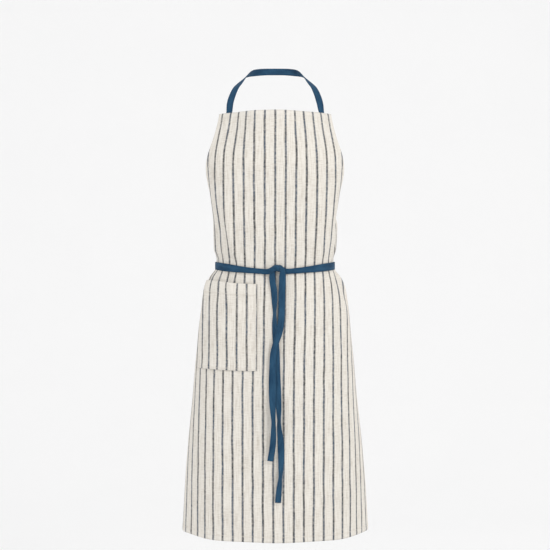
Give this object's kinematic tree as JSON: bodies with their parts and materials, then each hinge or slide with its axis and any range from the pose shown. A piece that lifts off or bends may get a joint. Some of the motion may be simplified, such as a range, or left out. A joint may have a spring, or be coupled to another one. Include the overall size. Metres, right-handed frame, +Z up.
{
  "type": "butcher apron",
  "caption": "Striped cloth bib apron with a neck strap, a patch pocket and waist ties that cross at the back and are tied in front in a half knot, as worn.",
  "frame": {"origin": "middle of the neck strap's inner face, at the nape of the wearer's neck", "axes": "+X to the right of someone who faces the apron, -Y forward and away from the wearer, +Z up"},
  "size_m": [0.3902, 0.2104, 0.98],
  "materials": {
    "striped_cloth": "matt plain weave, cream with thin slate blue woven stripes",
    "blue_tape": "matt woven tape, dark blue",
    "cream_thread": "twisted sewing thread",
    "blue_thread": "twisted sewing thread"
  },
  "bodies": {
    "apron": {"body_panel": "striped_cloth", "pocket": "striped_cloth", "neck_strap": "blue_tape", "left_tie_waist": "blue_tape", "right_tie_waist": "blue_tape", "left_tie_knot": "blue_tape", "right_tie_knot": "blue_tape", "bib_top_seam": "cream_thread", "bottom_hem_seam": "cream_thread", "armhole_seam_left": "cream_thread", "armhole_seam_right": "cream_thread", "side_seam_left": "cream_thread", "side_seam_right": "cream_thread", "pocket_seam": "cream_thread", "pocket_mouth_seam": "cream_thread", "bar_tack_inner": "cream_thread", "bar_tack_outer": "cream_thread", "strap_stitch_left": "cream_thread", "strap_stitch_right": "cream_thread", "tie_stitch_left": "cream_thread", "tie_stitch_right": "cream_thread"},
    "left_tail": {"left_tie_tail": "blue_tape", "left_tie_end_seam": "blue_thread"},
    "right_tail": {"right_tie_tail": "blue_tape", "right_tie_end_seam": "blue_thread"}
  },
  "joints": [
    {"name": "left_tail_swing", "type": "hinge", "parent": "apron", "child": "left_tail", "pos_m": [-0.0054, -0.1588, -0.4385], "axis": [-1, 0, 0], "range_deg": [0, 80]},
    {"name": "right_tail_swing", "type": "hinge", "parent": "apron", "child": "right_tail", "pos_m": [0.015, -0.1622, -0.4345], "axis": [-1, 0, 0], "range_deg": [0, 80]}
  ]
}
